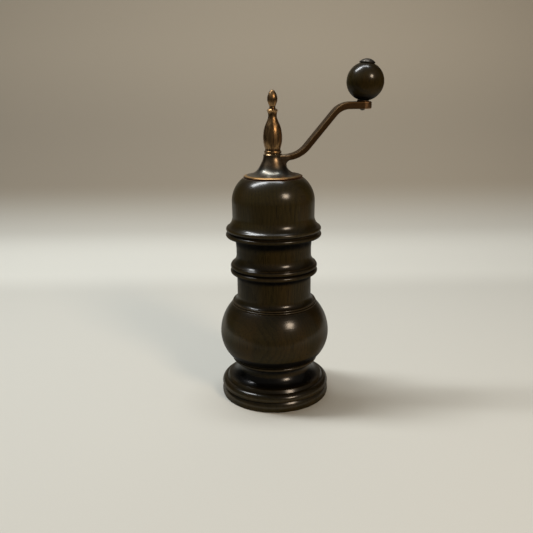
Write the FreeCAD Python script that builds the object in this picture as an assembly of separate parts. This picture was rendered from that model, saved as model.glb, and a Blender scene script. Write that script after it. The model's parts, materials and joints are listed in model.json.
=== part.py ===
import FreeCAD, Part
import math
import os
from collections import namedtuple

# Crank pepper mill, in millimetres, +Z up. The origin is the centre of the underside of the foot.
# The crank points along +X. Everything but the arm, its knob and the works' bars is turned about Z.

V = FreeCAD.Vector

# A round moulding of a turning: centre of its section, radius of its section, and which way it faces.
Moulding = namedtuple("Moulding", "r z section side")


def bead(crest, z, section):
    """A convex moulding whose fullest radius is crest, at height z."""
    return Moulding(crest - section, z, section, 1)


def cove(throat, z, section):
    """A hollow moulding whose narrowest radius is throat, at height z."""
    return Moulding(throat + section, z, section, -1)


def radius_at(moulding, z):
    """Radius of a moulding's surface at a height."""
    rise = z - moulding.z
    return moulding.r + moulding.side * math.sqrt(max(moulding.section ** 2 - rise ** 2, 0.0))


def cove_onto(throat, z, moulding, low):
    """A cove with its throat at one height, of the section that meets another moulding lower down."""
    flare, drop = radius_at(moulding, low) - throat, z - low
    return cove(throat, z, (flare ** 2 + drop ** 2) / (2 * flare))


# Outside of the wooden body, from the foot up. The foot and the ball are turned to the same size.
BLANK_R = 31.75
FOOT_ROUND = 0.6
FOOT_SLAB = bead(BLANK_R, 2.2, 5.0)
FOOT_EDGE = bead(radius_at(FOOT_SLAB, FOOT_ROUND), FOOT_ROUND, FOOT_ROUND)
FOOT_SLAB_TOP = 5.3
FOOT_GROOVE_R = 30.3
FOOT_GROOVE_Z = 5.8
FOOT_TORUS = bead(31.65, 7.0, 3.3)
FOOT_TORUS_LOW = 6.3
FOOT_STEP_LOW = 10.29
FOOT_STEP_TOP = 11.9
NECK_R = 20.5
FOOT_COVE = cove(NECK_R, 20.4, 8.67)
NECK_BEAD = bead(25.2, 22.75, 0.85)
NECK_BEAD_HALF = 0.7
NECK_GROOVE_R = 24.2
BALL_Z = 38.7
BALL_LOWER = bead(BLANK_R, BALL_Z, 20.1)
BALL_UPPER = bead(BLANK_R, BALL_Z, 25.2)
BALL_LOW = 23.85
BALL_TOP = 55.9
BALL_GROOVE_R = 24.3
RING_LOWER = bead(24.75, 56.45, 0.5)
RING_UPPER = bead(24.2, 57.55, 0.55)
RING_HALF = 0.44
RING_GROOVE_R = 23.7
WAIST_R = 21.4
WAIST_COVE = cove(WAIST_R, 61.6, 4.2)
WAIST_COVE_LOW = 58.05
WAIST_TOP = 74.7
BELT_LOWER = bead(25.1, 75.95, 1.3)
BELT_UPPER = bead(24.95, 79.0, 1.45)
BELT_GROOVE_R = 23.5
BARREL_R = 21.46
BARREL_COVE = cove(BARREL_R, 85.5, 5.89)
BARREL_COVE_LOW = 80.4
BARREL_FLARE_LOW = 89.0
BARREL_FLARE_R = 22.0
BARREL_TOP = 95.95
RIM_BEAD = bead(27.25, 97.15, 1.25)
BEAD_REACH = 0.93

# Inside of the body: recess under the foot, seat of the burr, and pepper chamber.
RECESS_R = 25.0
LEDGE_Z = 8.0
SEAT_R = 18.05
SHOULDER_Z = 22.0
CHAMBER_R = 15.5
MOUTH_CHAMFER = 0.6

# Wooden dome, the lid of the body.
JOINT_Z = 98.9
JOINT_GAP = 0.05
JOINT_R = 26.0
DOME_BEAD = bead(27.06, 100.45, 1.5)
DOME_THROAT = 23.3
DOME_COVE_LOW = 101.5
DOME_COVE = cove_onto(DOME_THROAT, 107.5, DOME_BEAD, DOME_COVE_LOW)
DOME_SHOULDER = bead(23.42, 116.0, 16.0)
DOME_TOP = 129.0
SPIGOT_R = CHAMBER_R - 0.08
SPIGOT_LOW = 91.0
SPINDLE_WAY_R = 4.0

# Running fits, and the small gap left between faces that turn or slide on each other.
RUN = 0.05
FACE_GAP = 0.06
SNUG = 0.02

# Spindle: a round rod, square at the crank and at the rotor, threaded above the crank and under the rotor.
SPINDLE_R = 3.0
SQUARE = 4.2
SQUARE_PLAY = 0.16
THREAD_R = 1.95
TAIL_R = 1.6
TAIL_LOW = 5.4
TAIL_TOP = 10.0
ROTOR_SQUARE_LOW = 14.2
ROTOR_TOP = 21.0
CRANK_SQUARE_LOW = DOME_TOP + 0.8
CRANK_SQUARE_TOP = 140.7
SPINDLE_TOP = 155.0
THREAD_CHAMFER = 0.5

# Bell hub of the crank.
BELL_R = 16.5
BELL_LOW = DOME_TOP + 0.15
BELL_RIM_FLAT_R = 15.9
BELL_RIM_Z = 129.85
BELL_RIM_TOP_R = 15.5
BELL_RIM_TOP_Z = 130.5
BELL_STEP_R = 13.0
BELL_STEP_Z = 130.85
BELL_FLARE = [(10.6, 131.85), (8.3, 133.9), (7.0, 136.2), (5.75, 138.8), (5.35, 140.3)]
COLLAR_R = 5.3
COLLAR_EDGE = 0.3
HUB_R = 6.8
HOLLOW_R = 14.2
HOLLOW_TOP = 132.2

# Flat arm of the crank, bent up from the collar to a level pad.
ARM_WIDTH = 8.6
ARM_T = 3.0
PAD_T = 4.1
ARM_EDGE = 0.8
ARM_ROOT_Z = 139.99
PAD_Z = 167.4
ARM_SLOPE = math.radians(49.4)
ARM_LOW_BEND_X = 14.43
ARM_LOW_BEND_R = 16.0
ARM_HIGH_BEND_R = 11.6
ARM_END_X = 51.45
ARM_FILLET = cove(7.7, 135.8, 3.0)
ARM_FILLET_LOW = 134.0
ARM_FILLET_HIGH = 138.75
ARM_FILLET_WIDTH = 7.9
ARM_ROOT_TOP = ARM_ROOT_Z + ARM_T / 2
COLLAR_TOP = ARM_ROOT_TOP + 0.55

# Ball knob on its rivet, which leans outward a little. Heights run along the rivet from the ball's centre.
KNOB_CENTRE = V(51.9, 0, 180.0)
KNOB_LEAN = 5.0
KNOB_R = 10.3
KNOB_TOP_FLAT = 9.65
KNOB_FOOT_FLAT = -9.9
RIVET_R = 2.1
RIVET_HEAD_R = 4.35
RIVET_HEAD_LOW = 9.73
RIVET_HEAD_EDGE = 0.45
RIVET_HEAD_TOP = 12.1
RIVET_PIN_R = 1.2
TAIL_HEAD_R = 1.6
TAIL_HEAD_HIGH = 0.7
TAIL_HEAD_GAP = 0.16
SEAT_TOP = -10.3
SEAT_DEPTH = 2.0
SEAT_BOSS_R = 3.4
KNOB_WASHER_R = 3.2

# Finial, the nut that sets the grind.
FINIAL_LOW = COLLAR_TOP + FACE_GAP
FINIAL_BORE_TOP = 157.0
FINIAL_BEAD = bead(4.85, 143.1, 0.95)
FINIAL_NECK = (4.26, 144.9)
FINIAL_BALUSTER = [(4.95, 147.4), (5.3, 151.0), (5.03, 154.0), (4.3, 157.0), (3.0, 160.0), (2.42, 161.9)]
FINIAL_WAIST = (2.37, 162.9)
FINIAL_FLARE = [(2.58, 164.3), (3.12, 165.4)]
FINIAL_LIP = [(2.6, 165.95), (1.7, 166.5)]
FINIAL_ACORN_NECK = (1.58, 167.4)
FINIAL_ACORN = [(2.2, 168.8), (2.8, 171.0), (2.25, 173.9)]
FINIAL_TIP = (1.4, 175.4)
FINIAL_TOP = 176.2

# Bush and thrust washer in the top of the dome.
TOP_BUSH_R = 4.5
TOP_BUSH_LOW = 117.0
TOP_FLANGE_R = 7.0
TOP_FLANGE_TOP = 130.0
BELL_WASHER_R = 6.5
BELL_WASHER_TOP = 130.6

# Grinding ring and cone.
STATOR_R = SEAT_R - RUN
STATOR_TOP = 20.5
STATOR_LOW_R = 16.2
STATOR_TOP_R = 12.2
STATOR_GROOVES = 16
STATOR_GROOVE_DEPTH = 0.7
STATOR_GROOVE_WIDTH = 1.6
ROTOR_LOW = 9.6
ROTOR_LOW_R = 15.2
ROTOR_TOP_R = 7.5
ROTOR_WELL_R = 6.0
ROTOR_GROOVES = 10
ROTOR_GROOVE_DEPTH = 1.7
ROTOR_GROOVE_WIDTH = 3.2
GROOVE_TWIST = 18.0
GROOVE_LENGTH = 30.0
NUT_FLATS = 7.0
NUT_LOW = 10.6
ROTOR_WASHER_LOW = 13.4
ROTOR_WASHER_R = 5.4

# Bridge over the cone, with its bush, and the spring under it.
BRIDGE_TOP_RING = SHOULDER_Z
BRIDGE_ARMS = 3
BRIDGE_FIRST_ARM = 90.0
BRIDGE_ARM_WIDTH = 4.0
BRIDGE_ARM_ROOT_R = 16.5
BRIDGE_ARM_RISE_R = 15.2
BRIDGE_ARM_UNDER_R = 14.4
HUB_LOW = 29.0
HUB_TOP = 32.0
BRIDGE_HUB_R = 6.5
BRIDGE_BUSH_R = 4.2
BRIDGE_FLANGE_R = 5.4
BRIDGE_FLANGE_TOP = 32.8
CUP_LOW = ROTOR_TOP + FACE_GAP
CUP_FLOOR_TOP = 21.95
CUP_RIM_TOP = 23.2
CUP_R = 6.6
CUP_WALL = 0.7
SPRING_R = 4.65
SPRING_WIRE_R = 0.55
SPRING_TURNS = 4
SPRING_END = 0.2

# Bar across the recess, with its screws and bush.
BAR_T = 2.0
BAR_LOW = LEDGE_Z - BAR_T
BAR_WIDTH = 14.0
BAR_R = RECESS_R - 0.6
BAR_CORNER = 0.5
SCREW_Y = 21.5
SCREW_R = 1.4
SCREW_HEAD_R = 2.6
SCREW_HEAD_HIGH = 1.5
SCREW_POINT_LOW = 12.6
SCREW_TOP = 14.0
SCREW_SLOT = 0.7
SCREW_SLOT_DEPTH = 0.6
TAIL_BUSH_R = 3.0
TAIL_FLANGE_R = 4.2
TAIL_FLANGE_TOP = 8.6


class Outline:
    """A closed outline in the XZ plane, drawn edge by edge from its first point."""

    def __init__(self, x, z):
        self.first = V(x, 0, z)
        self.last = self.first
        self.edges = []

    def line(self, x, z):
        """A straight edge to (x, z), left out where the outline is already there."""
        end = V(x, 0, z)
        if end.distanceToPoint(self.last) > 1e-6:
            self.edges.append(Part.LineSegment(self.last, end).toShape())
            self.last = end
        return self

    def lines(self, *points):
        """Straight edges through the points in turn."""
        for x, z in points:
            self.line(x, z)
        return self

    def arc(self, via, end):
        """A circular edge through one point to another."""
        stop = V(end[0], 0, end[1])
        self.edges.append(Part.Arc(self.last, V(via[0], 0, via[1]), stop).toShape())
        self.last = stop
        return self

    def follow(self, moulding, low, high):
        """The stretch of a moulding between two heights, reached by a straight edge."""
        self.line(radius_at(moulding, low), low)
        middle = (low + high) / 2
        return self.arc((radius_at(moulding, middle), middle), (radius_at(moulding, high), high))

    def round(self, moulding, reach):
        """The stretch of a bead within a share of its section above and below its crest."""
        half = moulding.section * reach
        return self.follow(moulding, moulding.z - half, moulding.z + half)

    def cap(self, edge, top):
        """A ball-shaped end on the axis, from its edge (x, z) to its top height or the other way round."""
        x, z = edge
        rise = top - z
        ball = (x * x + rise * rise) / (2 * rise)
        half = math.asin(x / abs(ball)) / 2
        via = (abs(ball) * math.sin(half), top - ball + ball * math.cos(half))
        return self.arc(via, edge if self.last.x < x / 2 else (0, top))

    def curve(self, points):
        """A smooth curve on through the points."""
        spline = Part.BSplineCurve()
        spline.interpolate([self.last] + [V(x, 0, z) for x, z in points])
        self.edges.append(spline.toShape())
        self.last = V(points[-1][0], 0, points[-1][1])
        return self

    def face(self):
        """The face inside the outline, closed by a straight edge."""
        self.line(self.first.x, self.first.z)
        return Part.Face(Part.Wire(self.edges))

    def turned(self):
        """The solid that the outline sweeps about the Z axis."""
        return self.face().revolve(V(0, 0, 0), V(0, 0, 1), 360)

    def slab(self, width):
        """The solid of the outline with an even width across Y."""
        return self.face().extrude(V(0, width, 0)).translated(V(0, -width / 2, 0))


def tube(inner, outer, low, high):
    """A plain round sleeve about Z."""
    return Outline(inner, low).lines((outer, low), (outer, high), (inner, high)).turned()


def flanged_bush(inner, outer, flange, low, seat, high):
    """A sleeve with a flange on its upper end, resting on the height seat."""
    outline = Outline(inner, low)
    outline.lines((outer, low), (outer, seat), (flange, seat), (flange, high), (inner, high))
    return outline.turned()


def rod(radius, low, high):
    """A round rod about Z."""
    return Part.makeCylinder(radius, high - low, V(0, 0, low))


def square_rod(flats, low, high):
    """A square rod about Z."""
    return Part.makeBox(flats, flats, high - low, V(-flats / 2, -flats / 2, low))


def about_z(shape, count, first=0.0):
    """Copies of a shape, evenly turned about Z."""
    step = 360.0 / count
    return [shape.rotated(V(0, 0, 0), V(0, 0, 1), first + step * i) for i in range(count)]


def on_rivet(shape):
    """A shape drawn about Z from the ball's centre, set on the leaning rivet."""
    return shape.rotated(V(0, 0, 0), V(0, 1, 0), KNOB_LEAN).translated(KNOB_CENTRE)


def make_body():
    """The turned wooden body, bored for the works and the pepper."""
    top = JOINT_Z - JOINT_GAP
    outline = Outline(RECESS_R, 0)
    outline.follow(FOOT_EDGE, 0, FOOT_EDGE.z)
    outline.follow(FOOT_SLAB, FOOT_EDGE.z, FOOT_SLAB_TOP)
    outline.line(FOOT_GROOVE_R, FOOT_GROOVE_Z)
    outline.follow(FOOT_TORUS, FOOT_TORUS_LOW, FOOT_STEP_LOW)
    outline.follow(FOOT_COVE, FOOT_STEP_TOP, FOOT_COVE.z)
    outline.line(NECK_R, NECK_BEAD.z - NECK_BEAD_HALF)
    outline.follow(NECK_BEAD, NECK_BEAD.z - NECK_BEAD_HALF, NECK_BEAD.z + NECK_BEAD_HALF)
    outline.line(NECK_GROOVE_R, (NECK_BEAD.z + NECK_BEAD_HALF + BALL_LOW) / 2)
    outline.follow(BALL_LOWER, BALL_LOW, BALL_Z)
    outline.follow(BALL_UPPER, BALL_Z, BALL_TOP)
    outline.line(BALL_GROOVE_R, RING_LOWER.z - RING_LOWER.section)
    outline.follow(RING_LOWER, RING_LOWER.z - RING_HALF, RING_LOWER.z + RING_HALF)
    outline.line(RING_GROOVE_R, (RING_LOWER.z + RING_UPPER.z) / 2)
    outline.follow(RING_UPPER, RING_UPPER.z - RING_HALF, RING_UPPER.z + RING_HALF)
    outline.follow(WAIST_COVE, WAIST_COVE_LOW, WAIST_COVE.z)
    outline.line(WAIST_R, WAIST_TOP)
    outline.round(BELT_LOWER, BEAD_REACH)
    outline.line(BELT_GROOVE_R, (BELT_LOWER.z + BELT_UPPER.z) / 2)
    outline.follow(BELT_UPPER, BELT_UPPER.z - BEAD_REACH * BELT_UPPER.section, BARREL_COVE_LOW)
    outline.follow(BARREL_COVE, BARREL_COVE_LOW, BARREL_COVE.z)
    outline.lines((BARREL_R, BARREL_FLARE_LOW), (BARREL_FLARE_R, BARREL_TOP))
    outline.round(RIM_BEAD, BEAD_REACH)
    outline.line(JOINT_R, top)
    outline.lines((CHAMBER_R + MOUTH_CHAMFER, top), (CHAMBER_R, top - MOUTH_CHAMFER))
    outline.lines((CHAMBER_R, SHOULDER_Z), (SEAT_R, SHOULDER_Z), (SEAT_R, LEDGE_Z), (RECESS_R, LEDGE_Z))
    return outline.turned().cut(screw_pair(SNUG))


def make_dome():
    """The turned wooden lid, with the spigot that plugs into the body."""
    outline = Outline(SPINDLE_WAY_R, SPIGOT_LOW)
    outline.lines((SPIGOT_R - MOUTH_CHAMFER, SPIGOT_LOW), (SPIGOT_R, SPIGOT_LOW + MOUTH_CHAMFER))
    outline.lines((SPIGOT_R, JOINT_Z), (JOINT_R, JOINT_Z))
    outline.follow(DOME_BEAD, DOME_BEAD.z - BEAD_REACH * DOME_BEAD.section, DOME_COVE_LOW)
    outline.follow(DOME_COVE, DOME_COVE_LOW, DOME_COVE.z)
    outline.follow(DOME_SHOULDER, DOME_SHOULDER.z, DOME_TOP)
    bush_hole = TOP_BUSH_R + SNUG
    outline.lines((bush_hole, DOME_TOP), (bush_hole, TOP_BUSH_LOW), (SPINDLE_WAY_R, TOP_BUSH_LOW))
    return outline.turned()


def make_top_bush():
    """The flanged bush in the top of the dome."""
    return flanged_bush(SPINDLE_R + RUN, TOP_BUSH_R, TOP_FLANGE_R, TOP_BUSH_LOW, DOME_TOP, TOP_FLANGE_TOP)


def make_bell_washer():
    """The thrust washer that the crank's hub turns on."""
    return tube(SPINDLE_R + RUN, BELL_WASHER_R, TOP_FLANGE_TOP, BELL_WASHER_TOP)


def corner(bend, level_offset, slope_offset):
    """Where the arm's level edge and sloping edge meet, each offset from the centre-line."""
    x, z = bend
    along = (level_offset - slope_offset * math.cos(ARM_SLOPE)) / math.sin(ARM_SLOPE)
    return x - slope_offset * math.sin(ARM_SLOPE) + along * math.cos(ARM_SLOPE), z + level_offset


def bend(outline, point, radius, level_first):
    """A line and an arc on an outline, which turn by the arm's slope at a corner point."""
    x, z = point
    reach = radius * math.tan(ARM_SLOPE / 2)
    level = (reach, 0)
    slope = (reach * math.cos(ARM_SLOPE), reach * math.sin(ARM_SLOPE))
    before, after = (level, slope) if level_first else (slope, level)
    start = V(x - before[0], 0, z - before[1])
    end = V(x + after[0], 0, z + after[1])
    inward = (start + end) * 0.5 - V(x, 0, z)
    bisector = inward.normalize()
    depth = radius / math.cos(ARM_SLOPE / 2) - radius
    via = V(x, 0, z) + bisector * depth
    outline.line(start.x, start.z)
    outline.arc((via.x, via.z), (end.x, end.z))


def arm_edge(side):
    """Corners of the arm's upper (side 1) or lower (side -1) edge, with their bend radii."""
    low_bend = (ARM_LOW_BEND_X, ARM_ROOT_Z)
    high_bend = (ARM_LOW_BEND_X + (PAD_Z - ARM_ROOT_Z) / math.tan(ARM_SLOPE), PAD_Z)
    half, pad_half = side * ARM_T / 2, side * PAD_T / 2
    low = (corner(low_bend, half, half), ARM_LOW_BEND_R - half)
    high = (corner(high_bend, pad_half, half), ARM_HIGH_BEND_R + pad_half)
    return low, high


def make_arm():
    """The bent flat arm, with a half-round end and softened edges."""
    tip = ARM_END_X + ARM_WIDTH / 2
    upper_low, upper_high = arm_edge(1)
    lower_low, lower_high = arm_edge(-1)
    upper = Outline(0, ARM_ROOT_TOP)
    bend(upper, *upper_low, True)
    bend(upper, *upper_high, False)
    upper.line(tip, PAD_Z + PAD_T / 2)
    lower = Outline(0, ARM_ROOT_Z - ARM_T / 2)
    bend(lower, *lower_low, True)
    bend(lower, *lower_high, False)
    lower.line(tip, PAD_Z - PAD_T / 2)
    ends = [Part.LineSegment(upper.first, lower.first), Part.LineSegment(upper.last, lower.last)]
    edges = upper.edges + lower.edges + [end.toShape() for end in ends]
    side = Part.Face(Part.Wire(Part.__sortEdges__(edges)))
    bar = side.extrude(V(0, ARM_WIDTH, 0)).translated(V(0, -ARM_WIDTH / 2, 0))
    height = PAD_Z + PAD_T
    plan = Part.makeBox(ARM_END_X, ARM_WIDTH, height, V(0, -ARM_WIDTH / 2, 0))
    plan = plan.fuse(Part.makeCylinder(ARM_WIDTH / 2, height, V(ARM_END_X, 0, 0))).removeSplitter()
    bar = bar.common(plan)
    long_edges = [edge for edge in bar.Edges if runs_along_arm(edge)]
    return bar.makeFillet(ARM_EDGE, long_edges)


def make_arm_fillet():
    """The hollow fillet under the arm, where it grows out of the bell."""
    inside = COLLAR_R - COLLAR_EDGE
    outline = Outline(inside, ARM_FILLET_LOW).follow(ARM_FILLET, ARM_FILLET_LOW, ARM_FILLET_HIGH)
    outline.lines((outline.last.x, ARM_ROOT_Z), (inside, ARM_ROOT_Z))
    under_arm = Part.makeBox(ARM_FILLET.r, ARM_FILLET_WIDTH, PAD_Z, V(0, -ARM_FILLET_WIDTH / 2, 0))
    return outline.turned().common(under_arm)


def runs_along_arm(edge):
    """Whether an edge of the arm is one of the long ones, not at the root or upright."""
    ends = [vertex.Point for vertex in edge.Vertexes]
    at_root = all(abs(point.x) < 1e-6 for point in ends)
    upright = math.hypot(ends[0].x - ends[-1].x, ends[0].y - ends[-1].y) < 1e-6
    return not at_root and not upright


def make_crank():
    """The cast crank: a hollow bell hub with the arm growing out of its collar."""
    outline = Outline(0, BELL_WASHER_TOP + FACE_GAP)
    outline.lines((HUB_R, BELL_WASHER_TOP + FACE_GAP), (HUB_R, HOLLOW_TOP), (HOLLOW_R, BELL_LOW))
    outline.line(BELL_RIM_FLAT_R, BELL_LOW)
    outline.curve([(BELL_R, BELL_RIM_Z), (BELL_RIM_TOP_R, BELL_RIM_TOP_Z), (BELL_STEP_R, BELL_STEP_Z)])
    outline.curve(BELL_FLARE)
    outline.lines((COLLAR_R, COLLAR_TOP - COLLAR_EDGE), (COLLAR_R - COLLAR_EDGE, COLLAR_TOP))
    outline.line(0, COLLAR_TOP)
    seat = on_rivet(rod(SEAT_BOSS_R, SEAT_TOP - SEAT_DEPTH, SEAT_TOP))
    casting = outline.turned().fuse([make_arm(), make_arm_fillet(), seat])
    casting = casting.cut(square_rod(SQUARE + SQUARE_PLAY, DOME_TOP, COLLAR_TOP))
    pin_hole = on_rivet(rod(RIVET_PIN_R + SNUG, -KNOB_R - 2 * PAD_T, 0))
    return casting.cut(pin_hole).removeSplitter()


def make_knob():
    """The ball knob, bored for its rivet, with a flat above and below."""
    top_r = math.sqrt(KNOB_R ** 2 - KNOB_TOP_FLAT ** 2)
    foot_r = math.sqrt(KNOB_R ** 2 - KNOB_FOOT_FLAT ** 2)
    bore = RIVET_R + RUN
    outline = Outline(bore, KNOB_FOOT_FLAT).line(foot_r, KNOB_FOOT_FLAT)
    outline.arc((KNOB_R, 0), (top_r, KNOB_TOP_FLAT)).line(bore, KNOB_TOP_FLAT)
    return on_rivet(outline.turned())


def make_knob_rivet():
    """The rivet: domed head, shank through the ball, thin pin through the arm, and peened tail."""
    head_edge = RIVET_HEAD_LOW + RIVET_HEAD_EDGE
    pad_under = (PAD_Z - PAD_T / 2 - KNOB_CENTRE.z) / math.cos(math.radians(KNOB_LEAN))
    tail_top = pad_under - TAIL_HEAD_GAP
    tail_low = tail_top - TAIL_HEAD_HIGH
    outline = Outline(0, tail_low)
    outline.cap((TAIL_HEAD_R, tail_top), tail_low)
    outline.lines((RIVET_PIN_R, tail_top), (RIVET_PIN_R, SEAT_TOP), (RIVET_R, SEAT_TOP))
    outline.lines((RIVET_R, RIVET_HEAD_LOW), (RIVET_HEAD_R, RIVET_HEAD_LOW), (RIVET_HEAD_R, head_edge))
    outline.cap((RIVET_HEAD_R, head_edge), RIVET_HEAD_TOP)
    return on_rivet(outline.turned())


def make_knob_washer():
    """The thin washer under the ball."""
    return on_rivet(tube(RIVET_R + SNUG, KNOB_WASHER_R, SEAT_TOP, KNOB_FOOT_FLAT - FACE_GAP))


def make_finial():
    """The turned finial, threaded from below for the end of the spindle."""
    bore = THREAD_R + RUN
    outline = Outline(bore, FINIAL_LOW)
    outline.follow(FINIAL_BEAD, FINIAL_LOW + FACE_GAP, FINIAL_BEAD.z + BEAD_REACH * FINIAL_BEAD.section)
    outline.line(*FINIAL_NECK)
    outline.curve(FINIAL_BALUSTER + [FINIAL_WAIST] + FINIAL_FLARE)
    outline.lines(*FINIAL_LIP, FINIAL_ACORN_NECK)
    outline.curve(FINIAL_ACORN + [FINIAL_TIP])
    outline.cap(FINIAL_TIP, FINIAL_TOP)
    outline.lines((0, FINIAL_BORE_TOP + bore), (bore, FINIAL_BORE_TOP))
    return outline.turned()


def make_spindle():
    """The spindle rod."""
    outline = Outline(0, TAIL_LOW)
    outline.lines((TAIL_R, TAIL_LOW), (TAIL_R, TAIL_TOP), (THREAD_R, TAIL_TOP))
    outline.lines((THREAD_R, ROTOR_TOP), (SPINDLE_R, ROTOR_TOP))
    outline.lines((SPINDLE_R, CRANK_SQUARE_LOW), (THREAD_R, CRANK_SQUARE_LOW))
    outline.lines((THREAD_R, SPINDLE_TOP - THREAD_CHAMFER), (THREAD_R - THREAD_CHAMFER, SPINDLE_TOP))
    outline.line(0, SPINDLE_TOP)
    squares = [
        square_rod(SQUARE, ROTOR_SQUARE_LOW, ROTOR_TOP),
        square_rod(SQUARE, CRANK_SQUARE_LOW, CRANK_SQUARE_TOP),
    ]
    return outline.turned().fuse(squares).removeSplitter()


def groove_cutters(low, high, depth, width, count, inward):
    """Slanting V cutters along a cone's surface, from (radius, height) low to high."""
    slope = math.degrees(math.atan2(high[0] - low[0], high[1] - low[1]))
    half, back = GROOVE_LENGTH / 2, depth * inward
    points = [V(-back, 0, -half), V(back, width, -half), V(back, -width, -half), V(-back, 0, -half)]
    prism = Part.Face(Part.makePolygon(points)).extrude(V(0, 0, GROOVE_LENGTH))
    prism.rotate(V(0, 0, 0), V(1, 0, 0), GROOVE_TWIST)
    prism.rotate(V(0, 0, 0), V(0, 1, 0), slope)
    prism.translate(V((low[0] + high[0]) / 2, 0, (low[1] + high[1]) / 2))
    return about_z(prism, count)


def make_rotor():
    """The inner grinding cone, with slanting grooves, a square hole and a well for its nut."""
    low, high = (ROTOR_LOW_R, ROTOR_LOW), (ROTOR_TOP_R, ROTOR_TOP)
    cone = Outline(0, ROTOR_LOW).lines(low, high, (0, ROTOR_TOP)).turned()
    cone = cone.cut(rod(ROTOR_WELL_R, ROTOR_LOW, ROTOR_SQUARE_LOW))
    cone = cone.cut(square_rod(SQUARE + SNUG, ROTOR_LOW, ROTOR_TOP))
    cutters = groove_cutters(low, high, ROTOR_GROOVE_DEPTH, ROTOR_GROOVE_WIDTH / 2, ROTOR_GROOVES, 1)
    return cone.cut(cutters)


def make_stator():
    """The grinding ring round the cone, with slanting grooves inside."""
    low, high = (STATOR_LOW_R, LEDGE_Z), (STATOR_TOP_R, STATOR_TOP)
    ring = Outline(*low).lines((STATOR_R, LEDGE_Z), (STATOR_R, STATOR_TOP), high).turned()
    cutters = groove_cutters(low, high, STATOR_GROOVE_DEPTH, STATOR_GROOVE_WIDTH / 2, STATOR_GROOVES, -1)
    return ring.cut(cutters)


def make_rotor_washer():
    """The washer between the rotor and its nut."""
    return tube(THREAD_R + SNUG, ROTOR_WASHER_R, ROTOR_WASHER_LOW, ROTOR_SQUARE_LOW)


def make_rotor_nut():
    """The hexagon nut under the rotor."""
    across = NUT_FLATS / math.sqrt(3)
    turns = [math.radians(60 * i) for i in range(7)]
    points = [V(across * math.cos(a), across * math.sin(a), NUT_LOW) for a in turns]
    blank = Part.Face(Part.makePolygon(points)).extrude(V(0, 0, ROTOR_WASHER_LOW - NUT_LOW))
    return blank.cut(rod(THREAD_R + SNUG, NUT_LOW, ROTOR_WASHER_LOW))


def make_bridge():
    """The ring with rising arms and a hub, which carries the spindle over the rotor."""
    ring = tube(CHAMBER_R, STATOR_R, STATOR_TOP, BRIDGE_TOP_RING)
    hub = rod(BRIDGE_HUB_R, HUB_LOW, HUB_TOP)
    arm = Outline(BRIDGE_ARM_ROOT_R, STATOR_TOP)
    arm.lines((BRIDGE_ARM_ROOT_R, BRIDGE_TOP_RING), (BRIDGE_ARM_RISE_R, BRIDGE_TOP_RING))
    arm.lines((BRIDGE_HUB_R, HUB_TOP), (BRIDGE_BUSH_R, HUB_TOP), (BRIDGE_BUSH_R, HUB_LOW))
    arm.lines((BRIDGE_HUB_R, HUB_LOW), (BRIDGE_ARM_UNDER_R, STATOR_TOP))
    arms = about_z(arm.slab(BRIDGE_ARM_WIDTH), BRIDGE_ARMS, BRIDGE_FIRST_ARM)
    casting = ring.fuse([hub] + arms)
    return casting.cut(rod(BRIDGE_BUSH_R + SNUG, HUB_LOW, HUB_TOP)).removeSplitter()


def make_bridge_bush():
    """The flanged bush in the bridge's hub."""
    return flanged_bush(SPINDLE_R + RUN, BRIDGE_BUSH_R, BRIDGE_FLANGE_R, HUB_LOW, HUB_TOP, BRIDGE_FLANGE_TOP)


def make_spring_cup():
    """The cup that the spring stands in, on top of the rotor."""
    inside = CUP_R - CUP_WALL
    outline = Outline(SPINDLE_R + RUN, CUP_LOW).lines((CUP_R, CUP_LOW), (CUP_R, CUP_RIM_TOP))
    outline.lines((inside, CUP_RIM_TOP), (inside, CUP_FLOOR_TOP), (SPINDLE_R + RUN, CUP_FLOOR_TOP))
    return outline.turned()


def make_spring():
    """The coil spring between the cup and the bridge's hub, with its ends ground flat."""
    low = CUP_FLOOR_TOP + SPRING_END
    height = HUB_LOW - SPRING_END - low
    path = Part.makeHelix(height / SPRING_TURNS, height, SPRING_R)
    section = Part.Wire(Part.makeCircle(SPRING_WIRE_R, V(SPRING_R, 0, 0), V(0, 1, 0)))
    coil = Part.Wire(path.Edges).makePipeShell([section], True, True)
    return coil.translated(V(0, 0, low)).common(rod(2 * SPRING_R, CUP_FLOOR_TOP, HUB_LOW))


def make_retaining_bar():
    """The flat bar across the recess, rounded to it at its ends."""
    bar = Part.makeBox(BAR_WIDTH, 2 * BAR_R, BAR_T, V(-BAR_WIDTH / 2, -BAR_R, BAR_LOW))
    bar = bar.common(rod(BAR_R, BAR_LOW, LEDGE_Z))
    corners = [edge for edge in bar.Edges if abs(edge.tangentAt(edge.FirstParameter).z) > 0.9]
    bar = bar.makeFillet(BAR_CORNER, corners)
    holes = [rod(SCREW_R + SNUG, BAR_LOW, LEDGE_Z).translated(V(0, y, 0)) for y in (-SCREW_Y, SCREW_Y)]
    return bar.cut(holes + [rod(TAIL_BUSH_R + SNUG, BAR_LOW, LEDGE_Z)])


def screw_pair(play):
    """Both wood screws of the bar, fattened by the play when they stand for their holes."""
    head_low = BAR_LOW - SCREW_HEAD_HIGH
    radius = SCREW_R + play
    outline = Outline(0, head_low)
    outline.cap((SCREW_HEAD_R, BAR_LOW), head_low)
    outline.lines((radius, BAR_LOW), (radius, SCREW_POINT_LOW), (0, SCREW_TOP))
    slot_corner = V(-SCREW_HEAD_R, -SCREW_SLOT / 2, head_low)
    slot = Part.makeBox(2 * SCREW_HEAD_R, SCREW_SLOT, SCREW_SLOT_DEPTH, slot_corner)
    screw = outline.turned().cut(slot)
    return Part.makeCompound([screw.translated(V(0, y, 0)) for y in (-SCREW_Y, SCREW_Y)])


def make_bar_screws():
    """The two screws that hold the bar to the wood."""
    return screw_pair(0.0)


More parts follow.
